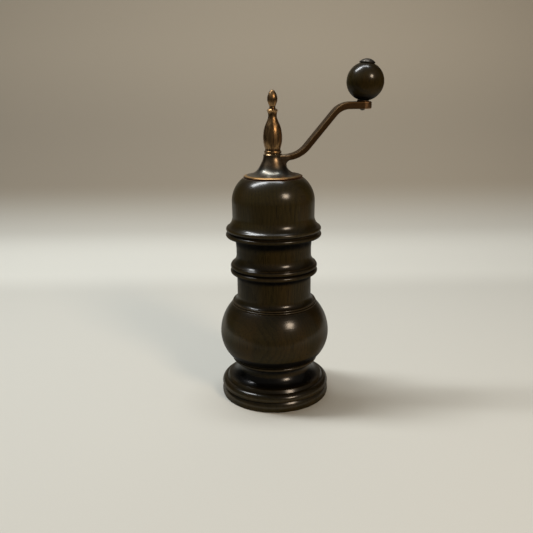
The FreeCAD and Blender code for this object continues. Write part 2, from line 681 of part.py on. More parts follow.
def make_tail_bush():
    """The flanged bush in the bar, round the spindle's tail."""
    return flanged_bush(TAIL_R + RUN, TAIL_BUSH_R, TAIL_FLANGE_R, BAR_LOW, LEDGE_Z, TAIL_FLANGE_TOP)


PIECES = {
    "body": make_body,
    "dome": make_dome,
    "crank": make_crank,
    "finial": make_finial,
    "knob": make_knob,
    "knob_rivet": make_knob_rivet,
    "knob_washer": make_knob_washer,
    "bell_washer": make_bell_washer,
    "top_bush": make_top_bush,
    "spindle": make_spindle,
    "rotor": make_rotor,
    "rotor_washer": make_rotor_washer,
    "rotor_nut": make_rotor_nut,
    "spring": make_spring,
    "spring_cup": make_spring_cup,
    "stator": make_stator,
    "bridge": make_bridge,
    "bridge_bush": make_bridge_bush,
    "retaining_bar": make_retaining_bar,
    "bar_screws": make_bar_screws,
    "tail_bush": make_tail_bush,
}

os.makedirs("parts", exist_ok=True)
for name, make in PIECES.items():
    piece = make()
    box = piece.BoundBox
    print(f"{name}: solids {len(piece.Solids)}, valid {piece.isValid()}, volume {piece.Volume:.1f},"
          f" z {box.ZMin:.2f} to {box.ZMax:.2f}, x {box.XMin:.2f} to {box.XMax:.2f}")
    piece.exportStep(f"parts/{name}.step")
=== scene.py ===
"""Looks of a crank pepper mill: dark lacquered turnings, patinated bronze and steel works on a pale sweep."""

import json
import logging
import math
from dataclasses import dataclass, field
from enum import Enum
from functools import cache
from typing import Callable, Iterable, Optional, Protocol, Union

import bmesh
import bpy
from mathutils import Matrix, Vector


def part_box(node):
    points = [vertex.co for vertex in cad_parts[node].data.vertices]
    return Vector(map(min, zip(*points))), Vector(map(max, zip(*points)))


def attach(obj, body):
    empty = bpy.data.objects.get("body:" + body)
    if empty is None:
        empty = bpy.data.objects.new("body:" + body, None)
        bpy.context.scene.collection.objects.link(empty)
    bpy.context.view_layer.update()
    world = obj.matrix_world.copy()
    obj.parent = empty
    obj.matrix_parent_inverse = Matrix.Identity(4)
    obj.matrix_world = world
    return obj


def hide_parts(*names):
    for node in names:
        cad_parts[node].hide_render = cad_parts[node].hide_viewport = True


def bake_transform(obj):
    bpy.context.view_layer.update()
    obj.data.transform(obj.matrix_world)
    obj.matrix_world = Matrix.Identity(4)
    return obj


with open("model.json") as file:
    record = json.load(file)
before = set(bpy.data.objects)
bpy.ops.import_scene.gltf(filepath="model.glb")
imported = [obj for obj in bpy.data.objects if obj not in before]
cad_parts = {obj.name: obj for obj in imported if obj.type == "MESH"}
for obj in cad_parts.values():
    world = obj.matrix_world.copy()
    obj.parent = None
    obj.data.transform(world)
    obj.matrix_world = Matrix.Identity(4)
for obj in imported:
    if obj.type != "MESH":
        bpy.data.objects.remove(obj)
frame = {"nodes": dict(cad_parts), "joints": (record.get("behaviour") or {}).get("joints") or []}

LOG = logging.getLogger("pepper_mill")
MM = 0.001
WELD = 1e-6
LEVEL = 0.02 * MM
WAVE_PHASE = 20.0  # radians per metre of the wave texture, at a scale of 1
MIX_UNDER, MIX_OVER, MIX_RESULT = 6, 7, 2  # places of the colour sockets on a mix node

Colour = tuple[float, float, float]
Band = tuple[float, float]
Socket = bpy.types.NodeSocket
Value = Union[Socket, float, tuple[float, ...]]


class Slot(Enum):
    """Material slots of the record that the new pieces take their finish from."""

    WOOD = "dark_wood"
    BRONZE = "antique_bronze"
    STEEL = "bright_steel"


class Face(Enum):
    """Which finish a stretch of a turning carries."""

    SKIN = 0
    BORE = 1


class Blend(Enum):
    """How one colour is laid over another."""

    OVER = "MIX"
    SCALED = "MULTIPLY"


class Graph:
    """A material's node tree, written as short calls that give back sockets."""

    def __init__(self, name: str) -> None:
        """Starts an empty tree.

        Args:
            name: the material's name.
        """
        self.material = bpy.data.materials.new(name)
        self.material.use_nodes = True
        self.tree = self.material.node_tree
        self.tree.nodes.clear()

    def feed(self, socket: Socket, value: Value) -> None:
        """Links a socket to another, or sets it to a plain value.

        Args:
            socket: the input.
            value: what it takes.
        """
        if isinstance(value, Socket):
            self.tree.links.new(value, socket)
        elif isinstance(value, tuple) and socket.type == "RGBA":
            socket.default_value = (*value[:3], 1.0)
        else:
            socket.default_value = value

    def add(self, kind: str, inputs: dict[Union[str, int], Value], **settings: object) -> bpy.types.Node:
        """Adds a node.

        Args:
            kind: the node's type name.
            inputs: values or sockets, by input name or index.
            settings: the node's own properties.

        Returns:
            The node.
        """
        node = self.tree.nodes.new(kind)
        for key, value in settings.items():
            setattr(node, key, value)
        for key, value in inputs.items():
            self.feed(node.inputs[key], value)
        return node

    def place(self) -> Socket:
        """Position on the piece, in metres in its own frame."""
        return self.add("ShaderNodeTexCoord", {}).outputs["Object"]

    def facing(self) -> Socket:
        """Direction that the surface faces, in the piece's own frame."""
        return self.add("ShaderNodeTexCoord", {}).outputs["Normal"]

    def split(self, vector: Value) -> tuple[Socket, Socket, Socket]:
        """The three parts of a vector."""
        node = self.add("ShaderNodeSeparateXYZ", {"Vector": vector})
        return tuple(node.outputs)

    def mapped(
        self, vector: Value, scale: Colour, shift: Colour = (0, 0, 0), turn: Colour = (0, 0, 0),
    ) -> Socket:
        """A position scaled, turned and shifted.

        Args:
            vector: the position.
            scale: factor on each axis.
            shift: offset added last, in metres.
            turn: angles about the axes, in radians.

        Returns:
            The new position.
        """
        inputs = {"Vector": vector, "Location": shift, "Rotation": turn, "Scale": scale}
        return self.add("ShaderNodeMapping", inputs).outputs["Vector"]

    def math(self, operation: str, first: Value, second: Value = 0.0) -> Socket:
        """A sum on numbers, held between 0 and 1 only where its operation does so."""
        return self.add("ShaderNodeMath", {0: first, 1: second}, operation=operation).outputs[0]

    def product(self, *values: Value) -> Socket:
        """Several numbers multiplied together.

        Args:
            values: the numbers.

        Returns:
            Their product.
        """
        result = values[0]
        for value in values[1:]:
            result = self.math("MULTIPLY", result, value)
        return result

    def step(self, value: Value, low: float, high: float, start: float = 0.0, end: float = 1.0) -> Socket:
        """A smooth step.

        Args:
            value: the number that is judged.
            low: where the step begins; above high, the step falls instead.
            high: where it ends.
            start: result before the step.
            end: result after it.

        Returns:
            The stepped number.
        """
        if low > high:
            low, high, start, end = high, low, end, start
        inputs = {"Value": value, "From Min": low, "From Max": high, "To Min": start, "To Max": end}
        return self.add("ShaderNodeMapRange", inputs, interpolation_type="SMOOTHSTEP").outputs["Result"]

    def near(self, value: Value, base: float, band: Band) -> Socket:
        """A smooth step across a band that is measured from a base."""
        return self.step(value, base + band[0], base + band[1])

    def noise(self, vector: Value, size: float, detail: float, rough: float = 0.55) -> Socket:
        """Cloudy noise from 0 to 1.

        Args:
            vector: the position.
            size: width of its largest blots, in metres.
            detail: octaves of finer blots.
            rough: strength of the finer blots.

        Returns:
            The noise.
        """
        inputs = {"Vector": vector, "Scale": 1.0 / size, "Detail": detail, "Roughness": rough}
        return self.add("ShaderNodeTexNoise", inputs).outputs["Fac"]

    def rings(self, vector: Value, spacing: float, waver: float) -> Socket:
        """Growth rings round the Z axis, rising from 0 to 1 across each.

        Args:
            vector: the position from the pith.
            spacing: width of a ring, in metres.
            waver: how far the rings wander, in ring widths.

        Returns:
            The place within a ring.
        """
        inputs = {
            "Vector": vector, "Scale": math.tau / WAVE_PHASE / spacing, "Distortion": waver,
            "Detail": 2.0, "Detail Scale": 0.35, "Detail Roughness": 0.5,
        }
        settings = {"wave_type": "RINGS", "rings_direction": "Z", "wave_profile": "SAW"}
        return self.add("ShaderNodeTexWave", inputs, **settings).outputs["Fac"]

    def attribute(self, name: str) -> Socket:
        """A number that the mesh carries at its points."""
        return self.add("ShaderNodeAttribute", {}, attribute_name=name).outputs["Fac"]

    def mix(self, share: Value, under: Value, over: Value, blend: Blend = Blend.OVER) -> Socket:
        """One colour laid over another.

        Args:
            share: how much of the upper colour shows.
            under: the lower colour.
            over: the upper colour.
            blend: how the two meet.

        Returns:
            The colour.
        """
        node = self.add("ShaderNodeMix", {0: share}, data_type="RGBA", blend_type=blend.value)
        self.feed(node.inputs[MIX_UNDER], under)
        self.feed(node.inputs[MIX_OVER], over)
        return node.outputs[MIX_RESULT]

    def bump(self, height: Value, depth: float, strength: float, under: Optional[Socket] = None) -> Socket:
        """A fine relief on the surface.

        Args:
            height: relief from 0 to 1.
            depth: its full depth, in metres.
            strength: how far the light follows it.
            under: a coarser relief that this one lies on.

        Returns:
            The changed direction of the surface.
        """
        inputs = {"Strength": strength, "Distance": depth, "Height": height}
        if under is not None:
            inputs["Normal"] = under
        return self.add("ShaderNodeBump", inputs).outputs["Normal"]

    def surface(self, inputs: dict[str, Value]) -> bpy.types.Material:
        """Closes the tree with a surface shader.

        Args:
            inputs: the shader's inputs by name.

        Returns:
            The finished material.
        """
        shader = self.add("ShaderNodeBsdfPrincipled", inputs)
        self.add("ShaderNodeOutputMaterial", {"Surface": shader.outputs[0]})
        return self.material


class Finish(Protocol):
    """Anything that can paint a material."""

    def paint(self) -> bpy.types.Material:
        """Makes the material."""


@cache
def material_of(finish: Finish) -> bpy.types.Material:
    """The one material of a finish, made when it is first asked for."""
    return finish.paint()


@dataclass(frozen=True)
class LacqueredWood:
    """Dark stained wood under a satin lacquer, rubbed brown on its edges, with its grain along Z and painted
    shade on its upward faces, in its grooves, under its beads and in bands of height.

    A band or slope says between which values a layer comes in, and a share how far it then covers.
    """

    name: str
    pith: Colour
    lean: Colour = (0.05, -0.07, 0.0)
    # Bands of height painted with shade, where the hollows lie in shadow.
    shade_bands: tuple[Band, ...] = ()
    shade_band_edge: float = 1.2 * MM
    shade_band_share: float = 0.95
    ground: Colour = (0.0325, 0.0236, 0.0068)
    vein: Colour = (0.0134, 0.0096, 0.0030)
    flame: Colour = (0.0450, 0.0280, 0.0076)
    rubbed: Colour = (0.056, 0.038, 0.017)
    # Colour of dirt and pores, and also of the painted shade.
    grime: Colour = (0.0022, 0.0018, 0.0014)
    cloud: float = 14 * MM
    cloud_stretch: float = 0.3
    flame_band: Band = (0.40, 0.68)
    ring: float = 1.9 * MM
    ring_waver: float = 8.0
    late_band: Band = (0.35, 0.96)
    late_cloud_band: Band = (0.75, 0.35)
    late_share: Band = (0.10, 0.40)
    grain_stretch: float = 0.035
    fibre: float = 0.42 * MM
    fibre_band: Band = (0.42, 0.66)
    fibre_share: Band = (0.0, 0.42)
    pore: float = 0.26 * MM
    pore_band: Band = (0.60, 0.70)
    pore_share: float = 0.6
    # Painted shade: faces that look up are darkened towards the grime colour.
    top_shade_slope: Band = (0.15, 0.75)
    top_shade_share: Band = (0.0, 0.60)
    blot: float = 1.6 * MM
    rub_band: Band = (0.30, 0.62)
    rub_share: Band = (0.15, 0.85)
    dirt_band: Band = (0.25, 0.60)
    dirt_share: Band = (0.70, 0.97)
    dirt_roughness: float = 0.25
    dirt_cover: float = 0.85
    handling: float = 9 * MM
    handled_band: Band = (0.30, 0.72)
    roughness: Band = (0.36, 0.50)
    ripple: float = 7 * MM
    ripple_stretch: float = 0.6
    ripple_depth: float = 0.04 * MM
    ripple_strength: float = 0.3
    relief_depth: float = 0.012 * MM
    relief_strength: float = 0.55
    pore_relief: float = 0.9
    specular: float = 0.04
    coat_slope: Band = (-0.06, 0.30)
    coat: Band = (0.03, 0.22)
    coat_roughness: float = 0.20
    coat_ior: float = 2.2

    def grain(self, g: Graph, place: Socket) -> tuple[Socket, Socket, Socket]:
        """Lays rings, fibres and pores.

        Args:
            g: the material's tree.
            place: the position on the piece.

        Returns:
            The colour, the fibres and the pores.
        """
        trunk = g.mapped(place, (1, 1, 1), tuple(-p for p in self.pith), self.lean)
        along = g.mapped(place, (1, 1, self.grain_stretch))
        ring = g.rings(trunk, self.ring, self.ring_waver)
        fibre = g.noise(along, self.fibre, detail=4.0, rough=0.6)
        pores = g.step(g.noise(along, self.pore, detail=1.0, rough=0.5), *self.pore_band)
        cloud = g.noise(g.mapped(place, (1, 1, self.cloud_stretch)), self.cloud, detail=2.0)
        colour = g.mix(g.step(cloud, *self.flame_band), self.ground, self.flame)
        late = g.step(cloud, *self.late_cloud_band, *self.late_share)
        colour = g.mix(g.product(g.step(ring, *self.late_band), late), colour, self.vein)
        colour = g.mix(g.step(fibre, *self.fibre_band, *self.fibre_share), colour, self.vein)
        colour = g.mix(g.product(pores, self.pore_share), colour, self.grime)
        return colour, fibre, pores

    def band_shade(self, g: Graph, height: Socket) -> Socket:
        """Paints shade in bands of height, where the turning's hollows lie in shadow.

        Args:
            g: the material's tree.
            height: the height on the piece.

        Returns:
            How far the painted shade covers.
        """
        share: Value = 0.0
        for low, high in self.shade_bands:
            above = g.step(height, low, low + self.shade_band_edge)
            below = g.step(height, high, high - self.shade_band_edge)
            share = g.math("MAXIMUM", share, g.product(above, below))
        return g.product(share, self.shade_band_share)

    def paint(self) -> bpy.types.Material:
        """Paints the grain, the rubbed edges and the dirt, with painted shade on upward faces, in grooves,
        under beads and in bands of height, and lacquer sprayed on from above.

        Returns:
            The material.
        """
        g = Graph(self.name)
        place = g.place()
        colour, fibre, pores = self.grain(g, place)
        upward = g.split(g.facing())[2]
        # Painted shade: faces that look up are darkened towards the grime colour.
        colour = g.mix(g.step(upward, *self.top_shade_slope, *self.top_shade_share), colour, self.grime)
        blot = g.noise(place, self.blot, detail=3.0, rough=0.65)
        rub = g.product(g.attribute("wear"), g.step(blot, *self.rub_band, *self.rub_share))
        colour = g.mix(rub, colour, self.rubbed)
        # Dirt in grooves together with painted shade there, and painted shade under beads and overhangs.
        corners = g.math("MAXIMUM", g.attribute("grime"), g.attribute("underside_shade"))
        dirt_and_shade = g.product(corners, g.step(blot, *self.dirt_band, *self.dirt_share))
        # Painted shade in bands of height.
        band_shade = self.band_shade(g, g.split(place)[2])
        colour = g.mix(g.math("MAXIMUM", dirt_and_shade, band_shade), colour, self.grime)
        handled = g.noise(place, self.handling, detail=4.0, rough=0.6)
        rough = g.step(handled, *self.handled_band, *self.roughness)
        rough = g.math("ADD", rough, g.product(dirt_and_shade, self.dirt_roughness))
        ripple = g.noise(g.mapped(place, (1, 1, self.ripple_stretch)), self.ripple, detail=1.0, rough=0.4)
        film = g.bump(ripple, self.ripple_depth, self.ripple_strength)
        relief = g.math("SUBTRACT", fibre, g.product(pores, self.pore_relief))
        normal = g.bump(relief, self.relief_depth, self.relief_strength, film)
        clean = g.math("SUBTRACT", 1.0, g.product(dirt_and_shade, self.dirt_cover))
        coat = g.product(g.step(upward, *self.coat_slope, *self.coat), clean)
        return g.surface({
            "Base Color": colour, "Roughness": rough, "Normal": normal, "Specular IOR Level": self.specular,
            "Coat Weight": coat, "Coat Roughness": self.coat_roughness, "Coat IOR": self.coat_ior,
            "Coat Normal": film,
        })


@dataclass(frozen=True)
class RawWood:
    """Bare bored wood, dusted by the pepper."""

    name: str
    pith: Colour
    lean: Colour = (0.05, -0.07, 0.0)
    ground: Colour = (0.165, 0.092, 0.046)
    vein: Colour = (0.082, 0.042, 0.020)
    dust: Colour = (0.050, 0.036, 0.024)
    ring: float = 2.6 * MM
    ring_waver: float = 5.0
    ring_band: Band = (0.30, 0.97)
    fibre: float = 0.5 * MM
    fibre_stretch: float = 0.05
    fibre_band: Band = (0.40, 0.68)
    fibre_share: Band = (0.0, 0.6)
    dust_blot: float = 6 * MM
    dust_band: Band = (0.42, 0.66)
    dust_share: Band = (0.0, 0.75)
    cutter_mark: float = 0.35 * MM
    cutter_stretch: float = 0.05
    relief_depth: float = 0.04 * MM
    relief_strength: float = 0.7
    rough_band: Band = (0.3, 0.7)
    roughness: Band = (0.62, 0.82)

    def paint(self) -> bpy.types.Material:
        """Paints rings, torn fibres, cutter marks and dust.

        Returns:
            The material.
        """
        g = Graph(self.name)
        place = g.place()
        trunk = g.mapped(place, (1, 1, 1), tuple(-p for p in self.pith), self.lean)
        ring = g.rings(trunk, self.ring, self.ring_waver)
        fibre = g.noise(g.mapped(place, (1, 1, self.fibre_stretch)), self.fibre, detail=4.0, rough=0.65)
        colour = g.mix(g.step(ring, *self.ring_band), self.ground, self.vein)
        colour = g.mix(g.step(fibre, *self.fibre_band, *self.fibre_share), colour, self.vein)
        dust = g.noise(place, self.dust_blot, detail=5.0, rough=0.65)
        colour = g.mix(g.step(dust, *self.dust_band, *self.dust_share), colour, self.dust)
        round_bore = g.mapped(place, (self.cutter_stretch, self.cutter_stretch, 1))
        marks = g.noise(round_bore, self.cutter_mark, detail=2.0)
        normal = g.bump(g.math("ADD", fibre, marks), self.relief_depth, self.relief_strength)
        rough = g.step(fibre, *self.rough_band, *self.roughness)
        return g.surface({"Base Color": colour, "Roughness": rough, "Normal": normal})


@dataclass(frozen=True)
class TurnedBronze:
    """Turned bronze with a brown patina, streaked upright and rubbed to gold on its edges."""

    name: str
    metal: Colour = (0.362, 0.214, 0.094)
    patina: Colour = (0.115, 0.068, 0.032)
    gold: Colour = (0.340, 0.208, 0.091)
    grime: Colour = (0.020, 0.014, 0.010)
    streak: float = 0.75 * MM
    streak_stretch: float = 0.045
    streak_band: Band = (0.38, 0.64)
    cloud: float = 4 * MM
    cloud_band: Band = (0.28, 0.60)
    cloud_share: Band = (0.35, 1.0)
    blot: float = 0.9 * MM
    rub_band: Band = (0.3, 0.6)
    rub_share: Band = (0.35, 1.0)
    dirt_band: Band = (0.25, 0.55)
    dirt_share: Band = (0.7, 1.0)
    dirt_roughness: float = 0.3
    rough_band: Band = (0.30, 0.70)
    roughness: Band = (0.24, 0.42)
    tool_mark: float = 0.16 * MM
    tool_stretch: float = 0.02
    streak_relief: float = 0.6
    relief_depth: float = 0.012 * MM
    relief_strength: float = 0.5

    def paint(self) -> bpy.types.Material:
        """Paints streaks, tarnish, tool rings and rubbed edges.

        Returns:
            The material.
        """
        g = Graph(self.name)
        place = g.place()
        streak = g.noise(g.mapped(place, (1, 1, self.streak_stretch)), self.streak, detail=4.0, rough=0.6)
        cloud = g.noise(place, self.cloud, detail=4.0, rough=0.6)
        clouded = g.step(cloud, *self.cloud_band, *self.cloud_share)
        colour = g.mix(g.product(g.step(streak, *self.streak_band), clouded), self.metal, self.patina)
        blot = g.noise(place, self.blot, detail=3.0, rough=0.6)
        rub = g.product(g.attribute("wear"), g.step(blot, *self.rub_band, *self.rub_share))
        colour = g.mix(rub, colour, self.gold)
        # Dirt in grooves together with painted shade there.
        dirt_and_shade = g.product(g.attribute("grime"), g.step(blot, *self.dirt_band, *self.dirt_share))
        colour = g.mix(dirt_and_shade, colour, self.grime)
        rough = g.step(cloud, *self.rough_band, *self.roughness)
        rough = g.math("ADD", rough, g.product(dirt_and_shade, self.dirt_roughness))
        tool = g.noise(g.mapped(place, (self.tool_stretch, self.tool_stretch, 1)), self.tool_mark, detail=2.0)
        relief = g.math("ADD", tool, g.product(streak, self.streak_relief))
        normal = g.bump(relief, self.relief_depth, self.relief_strength)
        return g.surface({"Base Color": colour, "Metallic": 1.0, "Roughness": rough, "Normal": normal})


@dataclass(frozen=True)
class CastBronze:
    """The crank's casting: gunmetal, rubbed to gold on its rim, collar and edges, with the rim's gold fading
    towards the arm as painted shade, and coppery at the pad from wear and painted warm light.

    Widths, rises, drops and reaches are measured from the place of the rim, the collar, the arm or the pad.
    """

    name: str
    rim_radius: float
    rim_top: float
    collar_radius: float
    collar_top: float
    arm_start: float
    pad_start: float
    metal: Colour = (0.122, 0.118, 0.102)
    neck: Colour = (0.240, 0.172, 0.108)
    brown: Colour = (0.066, 0.037, 0.0155)
    russet: Colour = (0.130, 0.056, 0.022)
    copper_and_warm_light: Colour = (0.245, 0.138, 0.068)
    gold: Colour = (0.560, 0.345, 0.135)
    grime: Colour = (0.022, 0.016, 0.012)
    cloud: float = 5 * MM
    blot: float = 1.1 * MM
    grit: float = 0.5 * MM
    neck_rise: Band = (2.5 * MM, 6.0 * MM)
    arm_reach: Band = (0.0, 3.0 * MM)
    tarnish_band: Band = (0.38, 0.66)
    tarnish_share: float = 0.45
    grime_band: Band = (0.46, 0.70)
    grime_share: float = 0.45
    pad_reach: Band = (0.0, 0.8 * MM)
    pad_band: Band = (0.30, 0.62)
    pad_share: Band = (0.35, 1.0)
    rub_band: Band = (0.28, 0.58)
    rim_width: Band = (-2.0 * MM, -1.3 * MM)
    rim_drop: Band = (0.0, -0.5 * MM)
    rim_share: Band = (0.75, 1.0)
    # Painted shade: less gold on the rim's side towards the arm.
    rim_side_shade: Band = (10.5 * MM, 3.5 * MM)
    rim_side_shade_share: Band = (0.22, 1.0)
    rim_face_width: Band = (-0.45 * MM, -0.15 * MM)
    rim_face_share: float = 0.9
    collar_inside: Band = (-0.55 * MM, -0.25 * MM)
    collar_outside: Band = (0.6 * MM, 0.2 * MM)
    collar_rise: Band = (-0.55 * MM, -0.22 * MM)
    collar_share: Band = (0.10, 0.40)
    edge_gain: float = 4.0
    edge_band: Band = (0.45, 1.0)
    edge_share: Band = (0.01, 0.04)
    rough_band: Band = (0.30, 0.70)
    roughness: Band = (0.28, 0.36)
    arm_roughness: float = 0.18
    cloud_depth: float = 0.010 * MM
    cloud_strength: float = 0.1
    grit_depth: float = 0.005 * MM
    grit_strength: float = 0.05

    def rubbed(
        self, g: Graph, blot: Socket, on_arm: Socket, radius: Socket, along: Socket, height: Socket,
    ) -> Socket:
        """Finds the rim's top, the collar and the arm's edges, which hands have rubbed; the rim's gold fades
        towards the arm's side as painted shade.

        Args:
            g: the material's tree.
            blot: the blots that break the rubbing up.
            on_arm: where the arm is.
            radius: the distance from the spindle.
            along: the distance along the arm.
            height: the height on the piece.

        Returns:
            How far the gold shows.
        """
        rim = g.product(
            g.near(radius, self.rim_radius, self.rim_width),
            g.near(height, self.rim_top, self.rim_drop),
            # Painted shade: less gold on the rim's side towards the arm.
            g.step(along, *self.rim_side_shade, *self.rim_side_shade_share),
            g.step(blot, *self.rub_band, *self.rim_share),
        )
        collar = g.product(
            g.near(radius, self.collar_radius, self.collar_inside),
            g.near(radius, self.collar_radius, self.collar_outside),
            g.near(height, self.collar_top, self.collar_rise),
            g.step(blot, *self.rub_band, *self.collar_share),
        )
        across = g.split(g.facing())[1]
        square = g.product(across, across)
        edge = g.product(self.edge_gain, square, g.math("SUBTRACT", 1.0, square), on_arm)
        worn = g.product(g.step(edge, *self.edge_band), g.step(blot, *self.rub_band, *self.edge_share))
        return g.math("MAXIMUM", g.math("MAXIMUM", rim, collar), worn)

    def paint(self) -> bpy.types.Material:
        """Paints the casting by place: bell, rim, collar, arm and pad.

        Returns:
            The material.
        """
        g = Graph(self.name)
        place = g.place()
        x, y, z = g.split(place)
        radius = g.math("SQRT", g.math("ADD", g.product(x, x), g.product(y, y)))
        cloud = g.noise(place, self.cloud, detail=4.0, rough=0.6)
        blot = g.noise(place, self.blot, detail=4.0, rough=0.62)
        on_arm = g.near(x, self.arm_start, self.arm_reach)
        tarnish = g.product(g.step(cloud, *self.tarnish_band), self.tarnish_share)
        colour = g.mix(g.near(z, self.rim_top, self.neck_rise), self.metal, self.neck)
        colour = g.mix(g.math("MAXIMUM", on_arm, tarnish), colour, self.brown)
        colour = g.mix(g.product(g.step(blot, *self.grime_band), self.grime_share), colour, self.grime)
        # Coppery pad end: worn copper with painted warm light.
        at_pad = g.near(x, self.pad_start, self.pad_reach)
        coppery_and_warm_light = g.step(blot, *self.pad_band, *self.pad_share)
        colour = g.mix(g.product(at_pad, coppery_and_warm_light), colour, self.copper_and_warm_light)
        colour = g.mix(self.rubbed(g, blot, on_arm, radius, x, z), colour, self.gold)
        rim_face = g.product(
            g.near(radius, self.rim_radius, self.rim_face_width), g.near(z, self.rim_top, self.rim_drop))
        colour = g.mix(g.product(rim_face, self.rim_face_share), colour, self.russet)
        rough = g.step(cloud, *self.rough_band, *self.roughness)
        rough = g.math("ADD", rough, g.product(on_arm, self.arm_roughness))
        grit = g.noise(place, self.grit, detail=3.0, rough=0.6)
        dents = g.bump(cloud, self.cloud_depth, self.cloud_strength)
        normal = g.bump(grit, self.grit_depth, self.grit_strength, dents)
        return g.surface({"Base Color": colour, "Metallic": 1.0, "Roughness": rough, "Normal": normal})


@dataclass(frozen=True)
class WorkedMetal:
    """Plain worked metal: brushed along one axis, tarnished in blots and scratched."""

    name: str
    metal: Colour
    tarnish: Colour
    grain: Colour
    roughness: Band
    blot: float = 3 * MM
    depth: float = 0.015 * MM
    strength: float = 0.6
    scratch: float = 0.22 * MM
    scratch_band: Band = (0.45, 0.75)
    scratch_share: Band = (0.0, 0.35)
    tarnish_band: Band = (0.40, 0.68)
    tarnish_share: Band = (0.0, 0.85)
    rough_band: Band = (0.30, 0.70)

    def paint(self) -> bpy.types.Material:
        """Paints brushing, tarnish and scratches.

        Returns:
            The material.
        """
        g = Graph(self.name)
        place = g.place()
        brushed = g.noise(g.mapped(place, self.grain), self.scratch, detail=3.0, rough=0.6)
        cloud = g.noise(place, self.blot, detail=5.0, rough=0.62)
        colour = g.mix(g.step(cloud, *self.tarnish_band, *self.tarnish_share), self.metal, self.tarnish)
        colour = g.mix(g.step(brushed, *self.scratch_band, *self.scratch_share), colour, self.tarnish)
        rough = g.step(cloud, *self.rough_band, *self.roughness)
        normal = g.bump(brushed, self.depth, self.strength)
        return g.surface({"Base Color": colour, "Metallic": 1.0, "Roughness": rough, "Normal": normal})


@dataclass(frozen=True)
class SweepPaper:
    """Matt paper of the sweep, pale on the floor, with a painted pool of light at the bend and painted shade
    where it rises, tan and darker low down and on the left.
    """

    name: str = "sweep_paper"
    floor: Colour = (0.632, 0.622, 0.565)
    bend_light: Colour = (0.740, 0.732, 0.668)
    low_wall_shade: Colour = (0.326, 0.282, 0.220)
    wall_shade: Colour = (0.390, 0.336, 0.260)
    dim: Colour = (0.060, 0.058, 0.052)
    slant_shade_reach: Band = (-320 * MM, 320 * MM)
    slant_shade: Band = (0.89, 1.11)
    wall_rise: Band = (110 * MM, 260 * MM)
    floor_end: Band = (-5 * MM, 62 * MM)
    bend_depth: Band = (190 * MM, 262 * MM)
    bend_height: Band = (18 * MM, 1 * MM)
    near_front: Band = (-180 * MM, -140 * MM)
    near_side: Band = (460 * MM, 420 * MM)
    tooth: float = 0.8 * MM
    tooth_band: Band = (0.3, 0.8)
    tooth_share: Band = (0.0, 0.04)
    tooth_depth: float = 0.03 * MM
    tooth_strength: float = 0.2
    roughness: float = 0.9
    specular: float = 0.1

    def paint(self) -> bpy.types.Material:
        """Paints the pale floor, the painted shade of the rising wall and the painted light at the bend, with
        a faint tooth, and keeps the far floor's glare off the mill.

        Returns:
            The material.
        """
        g = Graph(self.name)
        place = g.place()
        across, depth, height = g.split(place)
        # Painted shade: the rising paper gets darker and warmer, most low down and on the left.
        wall_shade = g.mix(g.step(height, *self.wall_rise), self.low_wall_shade, self.wall_shade)
        wall_shade = g.mix(1.0, wall_shade, g.step(across, *self.slant_shade_reach, *self.slant_shade), Blend.SCALED)
        colour = g.mix(g.step(height, *self.floor_end), self.floor, wall_shade)
        # Painted pool of light where the floor bends up.
        at_bend = g.product(g.step(depth, *self.bend_depth), g.step(height, *self.bend_height))
        colour = g.mix(at_bend, colour, self.bend_light)
        tooth = g.noise(place, self.tooth, detail=3.0)
        colour = g.mix(g.step(tooth, *self.tooth_band, *self.tooth_share), colour, self.wall_shade)
        from_side = g.math("ABSOLUTE", across)
        near = g.product(g.step(depth, *self.near_front), g.step(from_side, *self.near_side))
        seen = g.add("ShaderNodeLightPath", {}).outputs["Is Camera Ray"]
        colour = g.mix(g.math("MAXIMUM", near, seen), self.dim, colour)
        return g.surface({
            "Base Color": colour, "Roughness": self.roughness, "Specular IOR Level": self.specular,
            "Normal": g.bump(tooth, self.tooth_depth, self.tooth_strength),
        })


